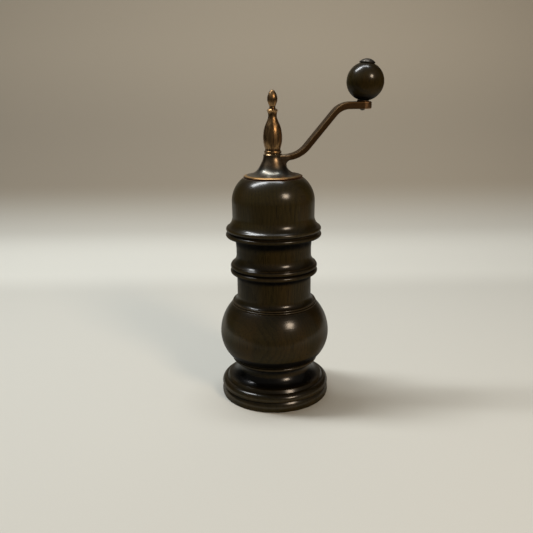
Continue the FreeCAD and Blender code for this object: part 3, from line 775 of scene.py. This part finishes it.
@dataclass
class Section:
    """Half section of a turned piece: points (radius, height) in order, in metres."""

    points: list[Vector]
    closed: bool

    @classmethod
    def of_node(cls, node: str, axis: Matrix) -> "Section":
        """Reads the half section of a turned solid.

        Args:
            node: the solid's node.
            axis: the lathe's own axes in the row frame.

        Returns:
            The section, with the wood or metal on its left.
        """
        solid = bmesh.new()
        solid.from_mesh(frame["nodes"][node].data)
        solid.transform(axis.inverted())
        bmesh.ops.remove_doubles(solid, verts=solid.verts, dist=WELD)
        geometry = [*solid.verts, *solid.edges, *solid.faces]
        bmesh.ops.bisect_plane(
            solid, geom=geometry, dist=WELD, plane_co=(0, 0, 0), plane_no=(0, 1, 0), clear_inner=True)
        beside: dict[int, list[int]] = {}
        solid.verts.index_update()
        solid.verts.ensure_lookup_table()
        for edge in solid.edges:
            if edge.is_boundary and all(v.co.x > -WELD for v in edge.verts):
                first, second = (v.index for v in edge.verts)
                beside.setdefault(first, []).append(second)
                beside.setdefault(second, []).append(first)
        ends = [index for index, others in beside.items() if len(others) == 1]
        order = [ends[0] if ends else next(iter(beside))]
        while True:
            onward = [index for index in beside[order[-1]] if index not in order[-2:]]
            if not onward or onward[0] == order[0]:
                break
            order.append(onward[0])
        points = [Vector((max(solid.verts[i].co.x, 0.0), solid.verts[i].co.z)) for i in order]
        solid.free()
        section = cls(points, not ends)
        if section.area() < 0:
            section.points.reverse()
        return section

    def pairs(self) -> list[tuple[Vector, Vector]]:
        """The section's straight stretches."""
        onward = self.points[1:] + self.points[:1] if self.closed else self.points[1:]
        return list(zip(self.points, onward))

    def area(self) -> float:
        """Signed area inside the section, positive when it runs anticlockwise."""
        onward = self.points[1:] + self.points[:1]
        return sum(a.x * b.y - b.x * a.y for a, b in zip(self.points, onward)) / 2

    def turns(self) -> list[float]:
        """How sharply the section turns.

        Returns:
            The angle at each point, positive where the section is convex.
        """
        count = len(self.points)
        result = [0.0] * count
        for i in range(count):
            if self.closed or 0 < i < count - 1:
                before = self.points[i] - self.points[i - 1]
                after = self.points[(i + 1) % count] - self.points[i]
                result[i] = math.atan2(before.x * after.y - before.y * after.x, before.dot(after))
        return result

    def eased(
        self, radius: float, sharp: float = math.radians(22), steps: int = 4, most: float = 0.45,
    ) -> "Section":
        """The section with its sharp outward corners rounded off.

        Args:
            radius: radius of the rounding, in metres.
            sharp: least turn that counts as a corner.
            steps: stretches that a rounding is made of.
            most: largest share of a stretch that a rounding takes up.

        Returns:
            The eased section.
        """
        points: list[Vector] = []
        count = len(self.points)
        for i, turn in enumerate(self.turns()):
            here = self.points[i]
            if turn < sharp:
                points.append(here)
                continue
            back = self.points[i - 1] - here
            on = self.points[(i + 1) % count] - here
            reach = min(radius * math.tan(turn / 2), most * back.length, most * on.length)
            start, end = here + back.normalized() * reach, here + on.normalized() * reach
            for k in range(steps + 1):
                t = k / steps
                points.append(start * (1 - t) ** 2 + here * (2 * t * (1 - t)) + end * t ** 2)
        return Section(points, self.closed)

    def divided(self, longest: float) -> "Section":
        """The section with points added along its long stretches.

        Args:
            longest: length that no stretch goes over, in metres.

        Returns:
            The divided section.
        """
        points: list[Vector] = []
        for start, end in self.pairs():
            parts = max(1, math.ceil((end - start).length / longest))
            points += [start.lerp(end, k / parts) for k in range(parts)]
        if not self.closed:
            points.append(self.points[-1])
        return Section(points, self.closed)

    def curvature(self, reach: float, cut: float = 4.0) -> list[float]:
        """Curvature at each point, smoothed along the section.

        Args:
            reach: width of the smoothing, in metres.
            cut: how many widths away a point no longer counts.

        Returns:
            Curvature per metre, positive where the section is convex.
        """
        lengths = [(b - a).length for a, b in self.pairs()]
        along = [0.0]
        for length in lengths:
            along.append(along[-1] + length)
        total, turns = along[-1], self.turns()
        scale = 1.0 / (reach * math.sqrt(math.tau))
        result = []
        for i in range(len(self.points)):
            bent = 0.0
            for j, turn in enumerate(turns):
                gap = abs(along[i] - along[j])
                gap = min(gap, total - gap) if self.closed else gap
                if gap < cut * reach:
                    bent += turn * math.exp(-0.5 * (gap / reach) ** 2)
            result.append(bent * scale)
        return result

    def downward(self) -> list[float]:
        """How far the section faces down.

        Returns:
            The share at each point, from -1 to 1.
        """
        onward = self.points[1:] + self.points[:1]
        before = self.points[-1:] + self.points[:-1]
        chords = [(after - prior).normalized() for prior, after in zip(before, onward)]
        return [chord.x for chord in chords]

    def underside_shade(self, reach: float) -> list[float]:
        """How far the stretches above each point overhang it, which is painted as shade.

        Args:
            reach: how far away an overhang counts, in metres.

        Returns:
            Share of the quarter from overhead to level that is hidden, from 0 to 1.
        """
        result = []
        for here in self.points:
            over = [p - here for p in self.points if WELD < p.y - here.y < reach and 0 < p.x - here.x < reach]
            hidden = max((math.atan2(gap.x, gap.y) for gap in over), default=0.0)
            result.append(hidden / (math.pi / 2))
        return result

    def faces(self, low: float, high: float) -> list[Face]:
        """Which finish each stretch carries: the skin runs up the outside between two heights.

        Args:
            low: height where the skin begins.
            high: height where it ends.

        Returns:
            The finish of each stretch.
        """
        def outermost(height: float) -> int:
            """Number of the widest point at a height."""
            level = [i for i, p in enumerate(self.points) if abs(p.y - height) < LEVEL]
            return max(level, key=lambda i: self.points[i].x)

        first, last = outermost(low), outermost(high)
        count = len(self.pairs())
        skin = {i % count for i in range(first, last if last > first else last + count)}
        return [Face.SKIN if i in skin else Face.BORE for i in range(count)]


def smooth_share(value: float, low: float, high: float) -> float:
    """A smooth step from 0 at low to 1 at high."""
    t = min(max((value - low) / (high - low), 0.0), 1.0)
    return t * t * (3 - 2 * t)


def finished(
    shape: bmesh.types.BMesh, name: str, finishes: Iterable[Finish], crease: float,
) -> bpy.types.Object:
    """Turns a built shape into an object with smooth faces.

    Args:
        shape: the shape, which is used up.
        name: the object's name.
        finishes: its finishes, in the order of its faces' numbers.
        crease: angle in degrees above which an edge stays sharp.

    Returns:
        The object, in the scene.
    """
    bmesh.ops.recalc_face_normals(shape, faces=shape.faces)
    for face in shape.faces:
        face.smooth = True
    mesh = bpy.data.meshes.new(name)
    shape.to_mesh(mesh)
    shape.free()
    mesh.set_sharp_from_angle(angle=math.radians(crease))
    for finish in finishes:
        mesh.materials.append(material_of(finish))
    piece = bpy.data.objects.new(name, mesh)
    bpy.context.scene.collection.objects.link(piece)
    return piece


def placed(piece: bpy.types.Object, body: str, node: str) -> bpy.types.Object:
    """Sets a new piece on its body, in the place of a node.

    Args:
        piece: the piece.
        body: the body that it moves with.
        node: the node that it stands for.

    Returns:
        The piece.
    """
    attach(piece, body)
    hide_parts(node)
    return piece


def dressed(node: str, finish: Finish) -> bpy.types.Object:
    """Gives a solid of the frame its finish.

    Args:
        node: the solid's node.
        finish: the finish.

    Returns:
        The solid's object.
    """
    piece = frame["nodes"][node]
    for slot in piece.material_slots:
        slot.material = material_of(finish)
    return piece


@dataclass
class Turning:
    """A turned piece, lathed again from its solid's section with eased edges, marks of wear and grime, and
    painted shade under its beads and overhangs.
    """

    node: str
    name: str
    finishes: tuple[Finish, ...]
    skin: tuple[float, float]
    axis: Matrix = field(default_factory=lambda: Matrix.Identity(4))
    segments: int = 192
    arris: float = 0.16 * MM
    longest: float = 0.7 * MM
    reach: float = 0.28 * MM
    wear_from: float = 0.35 / MM
    wear_full: float = 1.9 / MM
    grime_from: float = 0.25 / MM
    grime_full: float = 1.5 / MM
    overhang: float = 9.0 * MM
    underside_shade_from: float = 0.44
    underside_shade_full: float = 0.64
    bead_from: float = 0.25 / MM
    bead_full: float = 0.60 / MM
    under_from: float = 0.1
    under_full: float = 0.7
    crease: float = 40.0

    def marks(self, section: Section) -> list[tuple[float, float, float]]:
        """Rubbed edges, grimy corners that also carry painted shade, and painted shade on undersides, from
        the section's shape.

        Args:
            section: the section that is lathed.

        Returns:
            Wear, grime with painted shade, and painted shade under beads and overhangs at each point, from 0
            to 1.
        """
        bends = section.curvature(self.reach)
        roofs = section.underside_shade(self.overhang)
        result = []
        for bent, roof, down in zip(bends, roofs, section.downward()):
            wear = smooth_share(bent, self.wear_from, self.wear_full)
            # Grime in concave corners, which also stands for the shade there.
            grime = smooth_share(-bent, self.grime_from, self.grime_full)
            # Painted shade under beads and overhangs.
            under = smooth_share(down, self.under_from, self.under_full)
            bead_underside_shade = under * smooth_share(bent, self.bead_from, self.bead_full)
            overhang_shade = smooth_share(roof, self.underside_shade_from, self.underside_shade_full)
            result.append((wear, grime, max(bead_underside_shade, overhang_shade)))
        return result

    def build(self) -> bpy.types.Object:
        """Lathes the piece.

        Returns:
            The piece, in the scene.
        """
        section = Section.of_node(self.node, self.axis).eased(self.arris).divided(self.longest)
        faces = section.faces(*self.skin)
        shape = bmesh.new()
        layers = [shape.verts.layers.float.new(name) for name in ("wear", "grime", "underside_shade")]
        spokes = [math.tau * k / self.segments for k in range(self.segments)]
        rings: list[list[bmesh.types.BMVert]] = []
        for point, marks in zip(section.points, self.marks(section)):
            ring = []
            for turn in spokes if point.x > WELD else spokes[:1]:
                place = Vector((point.x * math.cos(turn), point.x * math.sin(turn), point.y))
                vert = shape.verts.new(self.axis @ place)
                for layer, share in zip(layers, marks):
                    vert[layer] = share
                ring.append(vert)
            rings.append(ring)
        onward = rings[1:] + rings[:1] if section.closed else rings[1:]
        for low, high, kind in zip(rings, onward, faces):
            for k in range(self.segments):
                around = ((low, k), (low, k + 1), (high, k + 1), (high, k))
                corners = dict.fromkeys(ring[i % len(ring)] for ring, i in around)
                shape.faces.new(corners).material_index = kind.value
        return finished(shape, self.name, self.finishes, self.crease)


BODY_PITH = (0.046, 0.030, 0.0)
DOME_PITH = (0.038, -0.026, 0.0)
KNOB_PITH = (0.074, 0.012, 0.0)
ALONG_Z = (1, 1, 0.04)
ROUND_Z = (0.04, 0.04, 1)
EVEN = (1, 1, 1)


@dataclass
class Palette:
    """The finishes of the mill."""

    body_wood: LacqueredWood = LacqueredWood(
        "lacquered_body_wood", BODY_PITH,
        # Painted shade in the foot's cove, under the neck bead and under the ball.
        shade_bands=((11.6 * MM, 17.0 * MM), (19.6 * MM, 22.3 * MM), (23.9 * MM, 29.8 * MM)),
    )
    dome_wood: LacqueredWood = LacqueredWood(
        "lacquered_dome_wood", DOME_PITH, lean=(-0.10, 0.08, 0.0), ground=(0.0445, 0.0322, 0.0088),
        vein=(0.0175, 0.0122, 0.0038), coat_slope=(-0.5, -0.1),
    )
    knob_wood: LacqueredWood = LacqueredWood(
        "lacquered_knob_wood", KNOB_PITH, lean=(0.30, 0.12, 0.0),
        # Painted shade on the knob's underside.
        shade_bands=((160.0 * MM, 174.5 * MM),), shade_band_edge=3.5 * MM,
    )
    bored_body: RawWood = RawWood("bored_body_wood", BODY_PITH)
    bored_dome: RawWood = RawWood("bored_dome_wood", DOME_PITH)
    bored_knob: RawWood = RawWood("bored_knob_wood", KNOB_PITH)
    finial: TurnedBronze = TurnedBronze("streaked_bronze")
    rivet: WorkedMetal = WorkedMetal(
        "dark_rivet_steel", metal=(0.085, 0.076, 0.064), tarnish=(0.034, 0.028, 0.022), grain=EVEN,
        roughness=(0.35, 0.55), blot=1.5 * MM, depth=0.008 * MM,
    )
    brass: WorkedMetal = WorkedMetal(
        "tarnished_brass", metal=(0.560, 0.370, 0.140), tarnish=(0.230, 0.135, 0.050), grain=ROUND_Z,
        roughness=(0.23, 0.43),
    )
    steel: WorkedMetal = WorkedMetal(
        "drawn_steel", metal=(0.440, 0.430, 0.410), tarnish=(0.190, 0.175, 0.155), grain=ALONG_Z,
        roughness=(0.23, 0.43),
    )
    iron: WorkedMetal = WorkedMetal(
        "burr_iron", metal=(0.170, 0.162, 0.150), tarnish=(0.070, 0.055, 0.040), grain=EVEN,
        roughness=(0.41, 0.61), blot=2 * MM, depth=0.04 * MM,
    )


@dataclass
class MillBody:
    """The turned body with its bored inside."""

    palette: Palette

    def build(self) -> list[bpy.types.Object]:
        """Lathes the body.

        Returns:
            The pieces.
        """
        low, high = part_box("body")
        finishes = (self.palette.body_wood, self.palette.bored_body)
        turning = Turning("body", "turned_body", finishes, (low.z, high.z))
        return [placed(turning.build(), "mill_body", "body")]


@dataclass
class DomeLid:
    """The turned lid with its spigot, its bush and the washer under the bell."""

    palette: Palette
    joint_gap: float = 0.05 * MM

    def build(self) -> list[bpy.types.Object]:
        """Lathes the lid and dresses its metal.

        Returns:
            The pieces.
        """
        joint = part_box("body")[1].z + self.joint_gap
        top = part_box("dome")[1].z
        turning = Turning("dome", "dome_lid", (self.palette.dome_wood, self.palette.bored_dome), (joint, top))
        lid = placed(turning.build(), "lid", "dome")
        return [lid, dressed("top_bush", self.palette.brass), dressed("bell_washer", self.palette.brass)]


@dataclass
class CrankHandle:
    """The cast crank."""

    collar_radius: float = 5.3 * MM
    arm_start: float = 6.5 * MM
    rim_height: float = 2.1 * MM
    pad_reach: float = 5.3 * MM

    def build(self) -> list[bpy.types.Object]:
        """Dresses the casting.

        Returns:
            The pieces.
        """
        low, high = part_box("crank")
        finish = CastBronze(
            "cast_bronze", rim_radius=-low.x, rim_top=low.z + self.rim_height,
            collar_radius=self.collar_radius, collar_top=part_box("finial")[0].z,
            arm_start=self.arm_start, pad_start=high.x - self.pad_reach,
        )
        return [dressed("crank", finish)]


@dataclass
class BallKnob:
    """The ball knob on its leaning rivet."""

    palette: Palette
    top_flat: float = 9.65 * MM
    foot_flat: float = -9.9 * MM

    def axis(self) -> Matrix:
        """The knob's lathe, from its joint.

        Returns:
            The lathe's axes in the row frame.
        """
        joint = next(j for j in frame["joints"] if j["name"] == "knob_spin")
        turn = Vector((0, 0, 1)).rotation_difference(Vector(joint["axis"]))
        return Matrix.Translation(Vector(joint["pos_m"])) @ turn.to_matrix().to_4x4()

    def build(self) -> list[bpy.types.Object]:
        """Lathes the ball and dresses its rivet and washer.

        Returns:
            The pieces.
        """
        finishes = (self.palette.knob_wood, self.palette.bored_knob)
        turning = Turning("knob", "ball_knob", finishes, (self.foot_flat, self.top_flat), self.axis())
        ball = placed(turning.build(), "knob", "knob")
        return [ball, dressed("knob_rivet", self.palette.rivet), dressed("knob_washer", self.palette.rivet)]


@dataclass
class FinialNut:
    """The turned finial that sets the grind."""

    palette: Palette
    segments: int = 128
    arris: float = 0.14 * MM
    longest: float = 0.4 * MM

    def build(self) -> list[bpy.types.Object]:
        """Lathes the finial.

        Returns:
            The pieces.
        """
        low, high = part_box("finial")
        turning = Turning(
            "finial", "finial_nut", (self.palette.finial, self.palette.finial), (low.z, high.z),
            segments=self.segments, arris=self.arris, longest=self.longest,
        )
        return [placed(turning.build(), "finial", "finial")]


@dataclass
class SpindleRod:
    """The spindle, with cut threads and squares, and what turns with it."""

    palette: Palette
    round_radius: float = 3.0 * MM
    square: float = 4.2 * MM
    corner: float = 0.66
    thread_radius: float = 1.95 * MM
    thread_depth: float = 0.36 * MM
    groove_half: float = 0.25
    pitch: float = 0.7 * MM
    tail_radius: float = 1.6 * MM
    tail_top: float = 10.0 * MM
    rotor_square: tuple[float, float] = (14.2 * MM, 21.0 * MM)
    crank_square: tuple[float, float] = (129.8 * MM, 140.7 * MM)
    chamfer: float = 0.5 * MM
    segments: int = 64
    rows_per_pitch: int = 10
    crease: float = 35.0

    def round_bar(self, radius: float) -> Callable[[float, float], float]:
        """A round section."""
        return lambda turn, height: radius

    def square_bar(self) -> Callable[[float, float], float]:
        """A square section with blunted corners."""
        half, limit = self.square / 2, self.square * self.corner
        return lambda turn, height: min(half / max(abs(math.cos(turn)), abs(math.sin(turn))), limit)

    def thread(self, turn: float, height: float) -> float:
        """Radius of the thread at an angle and a height."""
        phase = (height / self.pitch - turn / math.tau) % 1.0
        return self.thread_radius - self.thread_depth * max(0.0, 1.0 - abs(phase - 0.5) / self.groove_half)

    def stations(self) -> list[tuple[float, Callable[[float, float], float]]]:
        """Heights and sections up the rod.

        Returns:
            The stations, lowest first.
        """
        low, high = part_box("spindle")
        round_bar, square_bar = self.round_bar(self.round_radius), self.square_bar()
        tail, tip = self.round_bar(self.tail_radius), self.round_bar(self.thread_radius - self.chamfer)
        found = [(low.z, tail), (self.tail_top, tail)]
        found += self.threaded(self.tail_top, self.rotor_square[0])
        found += [(height, square_bar) for height in self.rotor_square]
        found += [(self.rotor_square[1], round_bar), (self.crank_square[0], round_bar)]
        found += [(height, square_bar) for height in self.crank_square]
        found += self.threaded(self.crank_square[1], high.z - self.chamfer)
        return found + [(high.z, tip)]

    def threaded(self, low: float, high: float) -> list[tuple[float, Callable[[float, float], float]]]:
        """Stations of a threaded stretch."""
        rows = round((high - low) / self.pitch * self.rows_per_pitch)
        return [(low + (high - low) * k / rows, self.thread) for k in range(rows + 1)]

    def rod(self) -> bpy.types.Object:
        """Builds the spindle's mesh.

        Returns:
            The piece, in the scene.
        """
        shape = bmesh.new()
        spokes = [math.tau * k / self.segments for k in range(self.segments)]
        rings = []
        for height, section in self.stations():
            ring = []
            for turn in spokes:
                radius = section(turn, height)
                ring.append(shape.verts.new((radius * math.cos(turn), radius * math.sin(turn), height)))
            rings.append(ring)
        for low, high in zip(rings, rings[1:]):
            for k in range(self.segments):
                onward = (k + 1) % self.segments
                shape.faces.new((low[k], low[onward], high[onward], high[k]))
        shape.faces.new(reversed(rings[0]))
        shape.faces.new(rings[-1])
        return finished(shape, "threaded_spindle", (self.palette.steel,), self.crease)

    def build(self) -> list[bpy.types.Object]:
        """Builds the rod and dresses the cone, its washer and its nut.

        Returns:
            The pieces.
        """
        rod = placed(self.rod(), "spindle", "spindle")
        cone = dressed("rotor", self.palette.iron)
        washer = dressed("rotor_washer", self.palette.steel)
        return [rod, cone, washer, dressed("rotor_nut", self.palette.steel)]


@dataclass
class GrindingWorks:
    """The still parts of the works inside the body."""

    palette: Palette

    def build(self) -> list[bpy.types.Object]:
        """Dresses the ring, the bridge, the cup and the bar under them.

        Returns:
            The pieces.
        """
        iron, brass, steel = self.palette.iron, self.palette.brass, self.palette.steel
        finishes = {
            "stator": iron, "bridge": iron, "bridge_bush": brass, "spring_cup": steel,
            "retaining_bar": steel, "bar_screws": steel, "tail_bush": brass,
        }
        return [dressed(node, finish) for node, finish in finishes.items()]


@dataclass
class CoilSpring:
    """The coil spring, whose foot rides up and down on its cup."""

    palette: Palette
    crease: float = 40.0

    def build(self) -> list[bpy.types.Object]:
        """Copies the spring's solid into a piece of its own.

        Returns:
            The piece.
        """
        solid = frame["nodes"]["spring"]
        shape = bmesh.new()
        shape.from_mesh(solid.data)
        shape.transform(solid.matrix_world)
        piece = finished(shape, "coil_spring", (self.palette.steel,), self.crease)
        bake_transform(piece)
        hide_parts("spring")
        return [piece]


@dataclass
class Lamp:
    """A soft lamp, given by where it stands as the camera sees the mill."""

    name: str
    toward: Colour
    distance: float
    size: tuple[float, float]
    power: float
    colour: Colour
    along: Colour = (1, 0, 0)

    def build(self, aim: Vector, azimuth: float) -> bpy.types.Object:
        """Sets the lamp up.

        Args:
            aim: the point that it faces.
            azimuth: the camera's turn about Z, in radians.

        Returns:
            The lamp.
        """
        data = bpy.data.lights.new(self.name, "AREA")
        data.shape = "RECTANGLE"
        data.size, data.size_y = self.size
        data.energy = self.power
        data.color = self.colour
        round_mill = Matrix.Rotation(azimuth, 3, "Z")
        back = (round_mill @ Vector(self.toward)).normalized()
        side = round_mill @ Vector(self.along)
        side = (side - back * side.dot(back)).normalized()
        axes = Matrix((side, back.cross(side), back)).transposed().to_4x4()
        lamp = bpy.data.objects.new(self.name, data)
        lamp.matrix_world = Matrix.Translation(aim + back * self.distance) @ axes
        bpy.context.scene.collection.objects.link(lamp)
        return lamp


DAYLIGHT = (0.95, 0.98, 1.0)
LAMPLIGHT = (1.0, 0.80, 0.60)
PANE_EDGE = (0.79, -0.05, 0.20)


@dataclass
class Studio:
    """The sweep, the lamps, the room's glow and the camera."""

    azimuth: float = math.radians(-9.0)
    camera_distance: float = 0.3483
    camera_sideways: float = -0.00429
    camera_height: float = 0.1747
    camera_pitch: float = math.radians(15.61)
    camera_roll: float = math.radians(-0.73)
    camera_lens: float = 42.04
    camera_sensor: float = 36.0
    camera_clip: Band = (0.01, 20.0)
    sweep_start: float = 0.27
    sweep_radius: float = 0.40
    sweep_front: float = -3.0
    sweep_top: float = 2.4
    sweep_half_width: float = 3.0
    sweep_steps: int = 24
    sweep_crease: float = 60.0
    aim: Colour = (0.0, 0.0, 0.09)
    glow: Colour = (0.64, 0.64, 0.60)
    glow_strength: float = 0.13
    backdrop: Colour = (0.30, 0.25, 0.19)
    lamps: tuple[Lamp, ...] = (
        Lamp(
            "left_pane", toward=(-0.40, 0.11, 0.86), distance=0.90, size=(0.44, 0.13), power=5.8,
            colour=DAYLIGHT, along=PANE_EDGE,
        ),
        Lamp(
            "right_pane", toward=(0.02, 0.15, 0.97), distance=0.95, size=(0.46, 0.13), power=3.2,
            colour=DAYLIGHT, along=PANE_EDGE,
        ),
        Lamp(
            "warm_lamp", toward=(0.517, -0.672, 0.53), distance=0.90, size=(0.20, 0.20), power=2.8,
            colour=LAMPLIGHT,
        ),
    )

    def sweep(self) -> bpy.types.Object:
        """Builds the paper sweep behind and under the mill.

        Returns:
            The sweep.
        """
        start, radius = self.sweep_start, self.sweep_radius
        turns = [math.pi / 2 * k / self.sweep_steps for k in range(self.sweep_steps + 1)]
        line = [(self.sweep_front, 0.0)]
        line += [(start + radius * math.sin(turn), radius - radius * math.cos(turn)) for turn in turns]
        line.append((start + radius, self.sweep_top))
        shape = bmesh.new()
        half = self.sweep_half_width
        rows = [[shape.verts.new((x, y, z)) for x in (-half, half)] for y, z in line]
        for near, far in zip(rows, rows[1:]):
            shape.faces.new((near[0], near[1], far[1], far[0]))
        sweep = finished(shape, "paper_sweep", (SweepPaper(),), self.sweep_crease)
        sweep.rotation_euler = (0, 0, self.azimuth)
        return sweep

    def room(self) -> None:
        """Gives the room its even glow, which the camera sees as a tan backdrop."""
        world = bpy.data.worlds.new("room_glow")
        bpy.context.scene.world = world
        world.use_nodes = True
        nodes, links = world.node_tree.nodes, world.node_tree.links
        nodes.clear()
        rays = nodes.new("ShaderNodeLightPath")
        glow = nodes.new("ShaderNodeBackground")
        glow.inputs["Color"].default_value = (*self.glow, 1.0)
        glow.inputs["Strength"].default_value = self.glow_strength
        seen = nodes.new("ShaderNodeBackground")
        seen.inputs["Color"].default_value = (*self.backdrop, 1.0)
        blend = nodes.new("ShaderNodeMixShader")
        out = nodes.new("ShaderNodeOutputWorld")
        links.new(rays.outputs["Is Camera Ray"], blend.inputs[0])
        links.new(glow.outputs[0], blend.inputs[1])
        links.new(seen.outputs[0], blend.inputs[2])
        links.new(blend.outputs[0], out.inputs["Surface"])

    def camera(self) -> bpy.types.Object:
        """Sets the camera up where the photograph was taken from.

        Returns:
            The camera.
        """
        data = bpy.data.cameras.new("photo_camera")
        data.sensor_width = self.camera_sensor
        data.lens = self.camera_lens
        data.clip_start, data.clip_end = self.camera_clip
        camera = bpy.data.objects.new("photo_camera", data)
        stand = Vector((self.camera_sideways, -self.camera_distance, self.camera_height))
        turn = Matrix.Rotation(self.azimuth, 4, "Z")
        tilt = Matrix.Rotation(math.pi / 2 - self.camera_pitch, 4, "X")
        roll = Matrix.Rotation(self.camera_roll, 4, "Z")
        camera.matrix_world = turn @ Matrix.Translation(stand) @ tilt @ roll
        bpy.context.scene.collection.objects.link(camera)
        bpy.context.scene.camera = camera
        return camera

    def build(self) -> list[bpy.types.Object]:
        """Sets the whole studio up.

        Returns:
            The sweep, the lamps and the camera.
        """
        self.room()
        lamps = [lamp.build(Vector(self.aim), self.azimuth) for lamp in self.lamps]
        return [self.sweep(), *lamps, self.camera()]


def main() -> None:
    """Builds the mill and its studio in order and logs each piece."""
    logging.basicConfig(level=logging.INFO, format="%(name)s: %(message)s")
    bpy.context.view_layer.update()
    palette = Palette()
    assemblies = (
        MillBody(palette), DomeLid(palette), CrankHandle(), BallKnob(palette), FinialNut(palette),
        SpindleRod(palette), GrindingWorks(palette), CoilSpring(palette), Studio(),
    )
    bpy.context.scene.view_settings.view_transform = "Standard"
    for assembly in assemblies:
        for piece in assembly.build():
            LOG.info("%s: %s", type(assembly).__name__, piece.name)


if __name__ == "__main__":
    main()
